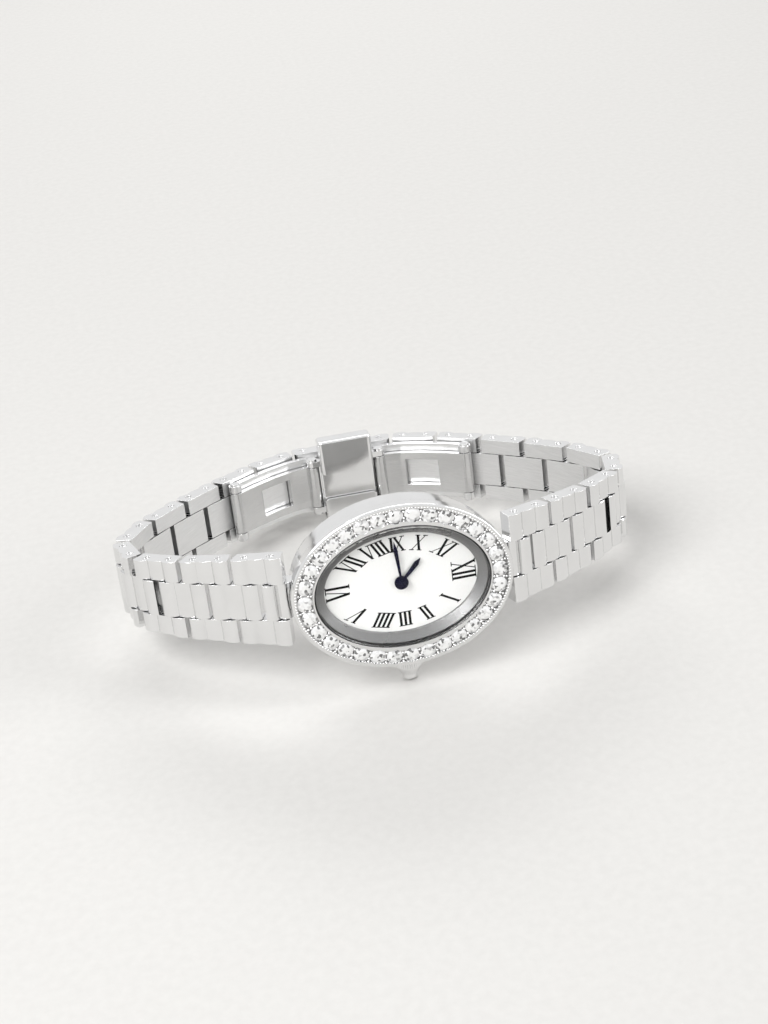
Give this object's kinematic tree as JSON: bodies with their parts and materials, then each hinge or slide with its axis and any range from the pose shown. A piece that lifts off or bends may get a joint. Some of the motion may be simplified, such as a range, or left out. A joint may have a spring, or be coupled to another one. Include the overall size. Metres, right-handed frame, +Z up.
{
  "type": "wristwatch",
  "caption": "Oval wristwatch with a stone-set bezel, roman dial, crown and three-row tapering link bracelet closed by a butterfly clasp with two push buttons",
  "frame": {"origin": "Middle of the watch's footprint on the table, with the watch closed and lying on its crown side.", "axes": "+X to the 12 o'clock end of the head, +Y from the dial to the clasp, +Z up."},
  "size_m": [0.0664, 0.0446, 0.0246],
  "materials": {
    "polished_steel": "polished",
    "satin_steel": "satin",
    "diamond": "faceted",
    "sapphire": "clear",
    "black_seal": "matte",
    "silver_dial": "satin",
    "blued_steel": "polished",
    "brass": "machined",
    "nickel_brass": "satin",
    "battery_steel": "polished"
  },
  "bodies": {
    "head": {"case_middle": "polished_steel", "bezel": "polished_steel", "bezel_stones": "diamond", "crystal": "sapphire", "case_gaskets": "black_seal", "dial_flange": "satin_steel", "dial": "silver_dial", "movement_plate": "nickel_brass", "battery": "battery_steel", "case_back": "satin_steel"},
    "stem": {"crown_stem": "satin_steel"},
    "crown": {"crown": "polished_steel"},
    "hour": {"hour_hand": "blued_steel", "hour_wheel": "brass"},
    "minute": {"minute_hand": "blued_steel", "cannon_pinion": "satin_steel"},
    "minute_wheel": {"minute_wheel": "brass"},
    "clasp_body": {"clasp_body": "satin_steel"},
    "button_top": {"push_button_top": "polished_steel"},
    "button_bottom": {"push_button_bottom": "polished_steel"},
    "right_outer_link_1": {"right_outer_link_1": "polished_steel"},
    "right_centre_link_1": {"right_centre_link_1": "polished_steel"},
    "right_outer_link_2": {"right_outer_link_2": "polished_steel"},
    "right_centre_link_2": {"right_centre_link_2": "polished_steel"},
    "right_outer_link_3": {"right_outer_link_3": "polished_steel"},
    "right_centre_link_3": {"right_centre_link_3": "polished_steel"},
    "right_outer_link_4": {"right_outer_link_4": "polished_steel"},
    "right_centre_link_4": {"right_centre_link_4": "polished_steel"},
    "right_outer_link_5": {"right_outer_link_5": "polished_steel"},
    "right_centre_link_5": {"right_centre_link_5": "polished_steel"},
    "right_outer_link_6": {"right_outer_link_6": "polished_steel"},
    "right_centre_link_6": {"right_centre_link_6": "polished_steel"},
    "right_outer_link_7": {"right_outer_link_7": "polished_steel"},
    "right_centre_link_7": {"right_centre_link_7": "polished_steel"},
    "right_outer_link_8": {"right_outer_link_8": "polished_steel"},
    "right_centre_link_8": {"right_centre_link_8": "polished_steel"},
    "right_outer_link_9": {"right_outer_link_9": "polished_steel"},
    "right_centre_link_9": {"right_centre_link_9": "polished_steel"},
    "right_outer_blade": {"right_outer_blade": "polished_steel"},
    "right_inner_blade": {"right_inner_blade": "satin_steel"},
    "left_outer_link_1": {"left_outer_link_1": "polished_steel"},
    "left_centre_link_1": {"left_centre_link_1": "polished_steel"},
    "left_outer_link_2": {"left_outer_link_2": "polished_steel"},
    "left_centre_link_2": {"left_centre_link_2": "polished_steel"},
    "left_outer_link_3": {"left_outer_link_3": "polished_steel"},
    "left_centre_link_3": {"left_centre_link_3": "polished_steel"},
    "left_outer_link_4": {"left_outer_link_4": "polished_steel"},
    "left_centre_link_4": {"left_centre_link_4": "polished_steel"},
    "left_outer_link_5": {"left_outer_link_5": "polished_steel"},
    "left_centre_link_5": {"left_centre_link_5": "polished_steel"},
    "left_outer_link_6": {"left_outer_link_6": "polished_steel"},
    "left_centre_link_6": {"left_centre_link_6": "polished_steel"},
    "left_outer_link_7": {"left_outer_link_7": "polished_steel"},
    "left_centre_link_7": {"left_centre_link_7": "polished_steel"},
    "left_outer_link_8": {"left_outer_link_8": "polished_steel"},
    "left_centre_link_8": {"left_centre_link_8": "polished_steel"},
    "left_outer_link_9": {"left_outer_link_9": "polished_steel"},
    "left_centre_link_9": {"left_centre_link_9": "polished_steel"},
    "left_outer_blade": {"left_outer_blade": "polished_steel"},
    "left_inner_blade": {"left_inner_blade": "satin_steel"}
  },
  "joints": [
    {"name": "right_pin_1", "type": "hinge", "parent": "head", "child": "right_outer_link_1", "pos_m": [0.015, -0.01698, 0.01376], "axis": [0, 0.2025, 0.9793], "range_deg": [-16.05, 0]},
    {"name": "right_pin_2", "type": "hinge", "parent": "right_outer_link_1", "child": "right_centre_link_1", "pos_m": [0.01804, -0.01559, 0.01347], "axis": [0, 0.2025, 0.9793], "range_deg": [-1.73, 0.46]},
    {"name": "right_pin_3", "type": "hinge", "parent": "right_centre_link_1", "child": "right_outer_link_2", "pos_m": [0.02102, -0.0141, 0.01317], "axis": [0, 0.2025, 0.9793], "range_deg": [-1.72, 0.46]},
    {"name": "right_pin_4", "type": "hinge", "parent": "right_outer_link_2", "child": "right_centre_link_2", "pos_m": [0.02394, -0.0125, 0.01283], "axis": [0, 0.2025, 0.9793], "range_deg": [-1.34, 0.36]},
    {"name": "right_pin_5", "type": "hinge", "parent": "right_centre_link_2", "child": "right_outer_link_3", "pos_m": [0.02676, -0.01073, 0.01247], "axis": [0, 0.2025, 0.9793], "range_deg": [-1.21, 0.32]},
    {"name": "right_pin_6", "type": "hinge", "parent": "right_outer_link_3", "child": "right_centre_link_3", "pos_m": [0.02934, -0.00863, 0.01203], "axis": [0, 0.2025, 0.9793], "range_deg": [-0.43, 1.6]},
    {"name": "right_pin_7", "type": "hinge", "parent": "right_centre_link_3", "child": "right_outer_link_4", "pos_m": [0.03128, -0.00595, 0.01148], "axis": [0, 0.2025, 0.9793], "range_deg": [-0.46, 1.71]},
    {"name": "right_pin_8", "type": "hinge", "parent": "right_outer_link_4", "child": "right_centre_link_4", "pos_m": [0.03199, -0.00275, 0.01082], "axis": [0, 0.2025, 0.9793], "range_deg": [-10.05, 0]},
    {"name": "right_pin_9", "type": "hinge", "parent": "right_centre_link_4", "child": "right_outer_link_5", "pos_m": [0.03126, 0.00045, 0.01016], "axis": [0, 0.2025, 0.9793], "range_deg": [-0.46, 1.72]},
    {"name": "right_pin_10", "type": "hinge", "parent": "right_outer_link_5", "child": "right_centre_link_5", "pos_m": [0.02954, 0.00327, 0.00957], "axis": [0, 0.2025, 0.9793], "range_deg": [-0.46, 1.72]},
    {"name": "right_pin_11", "type": "hinge", "parent": "right_centre_link_5", "child": "right_outer_link_6", "pos_m": [0.02736, 0.00576, 0.00906], "axis": [0, 0.2025, 0.9793], "range_deg": [-0.46, 1.72]},
    {"name": "right_pin_12", "type": "hinge", "parent": "right_outer_link_6", "child": "right_centre_link_6", "pos_m": [0.025, 0.00808, 0.00858], "axis": [0, 0.2025, 0.9793], "range_deg": [-0.46, 1.73]},
    {"name": "right_pin_13", "type": "hinge", "parent": "right_centre_link_6", "child": "right_outer_link_7", "pos_m": [0.02253, 0.0103, 0.00812], "axis": [0, 0.2025, 0.9793], "range_deg": [-0.36, 1.34]},
    {"name": "right_pin_14", "type": "hinge", "parent": "right_outer_link_7", "child": "right_centre_link_7", "pos_m": [0.01998, 0.01243, 0.00768], "axis": [0, 0.2025, 0.9793], "range_deg": [-0.32, 1.21]},
    {"name": "right_pin_15", "type": "hinge", "parent": "right_centre_link_7", "child": "right_outer_link_8", "pos_m": [0.01736, 0.01447, 0.00726], "axis": [0, 0.2025, 0.9793], "range_deg": [-1.59, 0.42]},
    {"name": "right_pin_16", "type": "hinge", "parent": "right_outer_link_8", "child": "right_centre_link_8", "pos_m": [0.01464, 0.0164, 0.00686], "axis": [0, 0.2025, 0.9793], "range_deg": [-1.71, 0.46]},
    {"name": "right_pin_17", "type": "hinge", "parent": "right_centre_link_8", "child": "right_outer_link_9", "pos_m": [0.0118, 0.01813, 0.0065], "axis": [0, 0.2025, 0.9793], "range_deg": [-1.73, 0.46]},
    {"name": "right_pin_18", "type": "hinge", "parent": "right_outer_link_9", "child": "right_centre_link_9", "pos_m": [0.00876, 0.0195, 0.00622], "axis": [0, 0.2025, 0.9793], "range_deg": [-1.73, 0.46]},
    {"name": "right_end_pin", "type": "hinge", "parent": "right_centre_link_9", "child": "right_outer_blade", "pos_m": [0.0055, 0.02026, 0.00606], "axis": [0, 0.2025, 0.9793], "range_deg": [-50.05, 0]},
    {"name": "right_fold_hinge", "type": "hinge", "parent": "right_outer_blade", "child": "right_inner_blade", "pos_m": [0.01603, 0.01276, 0.00761], "axis": [0, 0.2025, 0.9793], "range_deg": [0, 110.05]},
    {"name": "left_pin_1", "type": "hinge", "parent": "head", "child": "left_outer_link_1", "pos_m": [-0.015, -0.01698, 0.01376], "axis": [0, -0.2025, -0.9793], "range_deg": [-16.05, 0]},
    {"name": "left_pin_2", "type": "hinge", "parent": "left_outer_link_1", "child": "left_centre_link_1", "pos_m": [-0.01804, -0.01559, 0.01347], "axis": [0, -0.2025, -0.9793], "range_deg": [-1.5, 0.4]},
    {"name": "left_pin_3", "type": "hinge", "parent": "left_centre_link_1", "child": "left_outer_link_2", "pos_m": [-0.02102, -0.0141, 0.01317], "axis": [0, -0.2025, -0.9793], "range_deg": [-1.72, 0.46]},
    {"name": "left_pin_4", "type": "hinge", "parent": "left_outer_link_2", "child": "left_centre_link_2", "pos_m": [-0.02394, -0.0125, 0.01283], "axis": [0, -0.2025, -0.9793], "range_deg": [-1.34, 0.36]},
    {"name": "left_pin_5", "type": "hinge", "parent": "left_centre_link_2", "child": "left_outer_link_3", "pos_m": [-0.02676, -0.01073, 0.01247], "axis": [0, -0.2025, -0.9793], "range_deg": [-1.21, 0.32]},
    {"name": "left_pin_6", "type": "hinge", "parent": "left_outer_link_3", "child": "left_centre_link_3", "pos_m": [-0.02934, -0.00863, 0.01203], "axis": [0, -0.2025, -0.9793], "range_deg": [-0.43, 1.6]},
    {"name": "left_pin_7", "type": "hinge", "parent": "left_centre_link_3", "child": "left_outer_link_4", "pos_m": [-0.03128, -0.00595, 0.01148], "axis": [0, -0.2025, -0.9793], "range_deg": [-0.46, 1.71]},
    {"name": "left_pin_8", "type": "hinge", "parent": "left_outer_link_4", "child": "left_centre_link_4", "pos_m": [-0.03199, -0.00275, 0.01082], "axis": [0, -0.2025, -0.9793], "range_deg": [-10.05, 0]},
    {"name": "left_pin_9", "type": "hinge", "parent": "left_centre_link_4", "child": "left_outer_link_5", "pos_m": [-0.03126, 0.00045, 0.01016], "axis": [0, -0.2025, -0.9793], "range_deg": [-0.46, 1.72]},
    {"name": "left_pin_10", "type": "hinge", "parent": "left_outer_link_5", "child": "left_centre_link_5", "pos_m": [-0.02954, 0.00327, 0.00957], "axis": [0, -0.2025, -0.9793], "range_deg": [-0.46, 1.72]},
    {"name": "left_pin_11", "type": "hinge", "parent": "left_centre_link_5", "child": "left_outer_link_6", "pos_m": [-0.02736, 0.00576, 0.00906], "axis": [0, -0.2025, -0.9793], "range_deg": [-0.46, 1.72]},
    {"name": "left_pin_12", "type": "hinge", "parent": "left_outer_link_6", "child": "left_centre_link_6", "pos_m": [-0.025, 0.00808, 0.00858], "axis": [0, -0.2025, -0.9793], "range_deg": [-0.4, 1.5]},
    {"name": "left_pin_13", "type": "hinge", "parent": "left_centre_link_6", "child": "left_outer_link_7", "pos_m": [-0.02253, 0.0103, 0.00812], "axis": [0, -0.2025, -0.9793], "range_deg": [-0.36, 1.34]},
    {"name": "left_pin_14", "type": "hinge", "parent": "left_outer_link_7", "child": "left_centre_link_7", "pos_m": [-0.01998, 0.01243, 0.00768], "axis": [0, -0.2025, -0.9793], "range_deg": [-0.32, 1.21]},
    {"name": "left_pin_15", "type": "hinge", "parent": "left_centre_link_7", "child": "left_outer_link_8", "pos_m": [-0.01736, 0.01447, 0.00726], "axis": [0, -0.2025, -0.9793], "range_deg": [-1.59, 0.42]},
    {"name": "left_pin_16", "type": "hinge", "parent": "left_outer_link_8", "child": "left_centre_link_8", "pos_m": [-0.01464, 0.0164, 0.00686], "axis": [0, -0.2025, -0.9793], "range_deg": [-1.71, 0.46]},
    {"name": "left_pin_17", "type": "hinge", "parent": "left_centre_link_8", "child": "left_outer_link_9", "pos_m": [-0.0118, 0.01813, 0.0065], "axis": [0, -0.2025, -0.9793], "range_deg": [-1.5, 0.4]},
    {"name": "left_pin_18", "type": "hinge", "parent": "left_outer_link_9", "child": "left_centre_link_9", "pos_m": [-0.00876, 0.0195, 0.00622], "axis": [0, -0.2025, -0.9793], "range_deg": [-1.5, 0.4]},
    {"name": "left_end_pin", "type": "hinge", "parent": "left_centre_link_9", "child": "left_outer_blade", "pos_m": [-0.0055, 0.02026, 0.00606], "axis": [0, -0.2025, -0.9793], "range_deg": [-50.05, 0]},
    {"name": "left_fold_hinge", "type": "hinge", "parent": "left_outer_blade", "child": "left_inner_blade", "pos_m": [-0.01603, 0.01276, 0.00761], "axis": [0, -0.2025, -0.9793], "range_deg": [0, 110]},
    {"name": "left_body_hinge", "type": "hinge", "parent": "left_inner_blade", "child": "clasp_body", "pos_m": [-0.0047, 0.01723, 0.00669], "axis": [0, -0.2025, -0.9793], "range_deg": [-34.05, 0]},
    {"name": "button_top_press", "type": "slide", "parent": "clasp_body", "child": "button_top", "axis": [0, -0.2025, -0.9793], "range_m": [0, 0.0006], "stiffness_N_per_m": 800, "springref_m": -0.001},
    {"name": "button_bottom_press", "type": "slide", "parent": "clasp_body", "child": "button_bottom", "axis": [0, 0.2025, 0.9793], "range_m": [0, 0.0006], "stiffness_N_per_m": 800, "springref_m": -0.001},
    {"name": "crown_pull", "type": "slide", "parent": "head", "child": "stem", "axis": [0, -0.2025, -0.9793], "range_m": [0, 0.0008]},
    {"name": "crown_turn", "type": "hinge", "parent": "stem", "child": "crown", "pos_m": [0, -0.01668, 0.0137], "axis": [0, -0.2025, -0.9793], "continuous": true},
    {"name": "minute_turn", "type": "hinge", "parent": "head", "child": "minute", "pos_m": [0, -0.01698, 0.01376], "axis": [0, 0.9793, -0.2025], "continuous": true},
    {"name": "minute_wheel_turn", "type": "hinge", "parent": "head", "child": "minute_wheel", "pos_m": [-0.002, -0.01698, 0.01376], "axis": [0, 0.9793, -0.2025], "continuous": true},
    {"name": "hour_turn", "type": "hinge", "parent": "head", "child": "hour", "pos_m": [0, -0.01698, 0.01376], "axis": [0, 0.9793, -0.2025], "continuous": true}
  ],
  "couplings": [
    {"joint": "right_pin_1", "follows": "left_fold_hinge", "ratio": -0.14545},
    {"joint": "right_pin_2", "follows": "left_pin_2", "ratio": 1},
    {"joint": "right_pin_3", "follows": "left_pin_12", "ratio": -0.99897},
    {"joint": "right_pin_4", "follows": "left_pin_17", "ratio": 0.77417},
    {"joint": "right_pin_5", "follows": "left_pin_18", "ratio": 0.69922},
    {"joint": "right_pin_6", "follows": "left_pin_2", "ratio": -0.92603},
    {"joint": "right_pin_7", "follows": "left_pin_12", "ratio": 0.99127},
    {"joint": "right_pin_8", "follows": "left_fold_hinge", "ratio": -0.090909},
    {"joint": "right_pin_9", "follows": "left_pin_17", "ratio": -0.99742},
    {"joint": "right_pin_10", "follows": "left_pin_18", "ratio": -0.9958},
    {"joint": "right_pin_11", "follows": "left_pin_2", "ratio": -0.99565},
    {"joint": "right_pin_12", "follows": "left_pin_12", "ratio": 1},
    {"joint": "right_pin_13", "follows": "left_pin_17", "ratio": -0.77675},
    {"joint": "right_pin_14", "follows": "left_pin_18", "ratio": -0.70342},
    {"joint": "right_pin_15", "follows": "left_pin_2", "ratio": 0.92168},
    {"joint": "right_pin_16", "follows": "left_pin_12", "ratio": -0.9923},
    {"joint": "right_pin_17", "follows": "left_pin_17", "ratio": 1},
    {"joint": "right_pin_18", "follows": "left_pin_18", "ratio": 1},
    {"joint": "right_end_pin", "follows": "left_fold_hinge", "ratio": -0.45455},
    {"joint": "right_fold_hinge", "follows": "left_fold_hinge", "ratio": 1},
    {"joint": "left_pin_1", "follows": "left_fold_hinge", "ratio": -0.14545},
    {"joint": "left_pin_3", "follows": "left_pin_12", "ratio": -0.99897},
    {"joint": "left_pin_4", "follows": "left_pin_17", "ratio": 0.77417},
    {"joint": "left_pin_5", "follows": "left_pin_18", "ratio": 0.69922},
    {"joint": "left_pin_6", "follows": "left_pin_2", "ratio": -0.92603},
    {"joint": "left_pin_7", "follows": "left_pin_12", "ratio": 0.99127},
    {"joint": "left_pin_8", "follows": "left_fold_hinge", "ratio": -0.090909},
    {"joint": "left_pin_9", "follows": "left_pin_17", "ratio": -0.99742},
    {"joint": "left_pin_10", "follows": "left_pin_18", "ratio": -0.9958},
    {"joint": "left_pin_11", "follows": "left_pin_2", "ratio": -0.99565},
    {"joint": "left_pin_13", "follows": "left_pin_17", "ratio": -0.77675},
    {"joint": "left_pin_14", "follows": "left_pin_18", "ratio": -0.70342},
    {"joint": "left_pin_15", "follows": "left_pin_2", "ratio": 0.92168},
    {"joint": "left_pin_16", "follows": "left_pin_12", "ratio": -0.9923},
    {"joint": "left_end_pin", "follows": "left_fold_hinge", "ratio": -0.45455},
    {"joint": "left_body_hinge", "follows": "left_fold_hinge", "ratio": -0.30909},
    {"joint": "minute_wheel_turn", "follows": "minute_turn", "ratio": -0.33333},
    {"joint": "hour_turn", "follows": "minute_turn", "ratio": 0.083333}
  ]
}
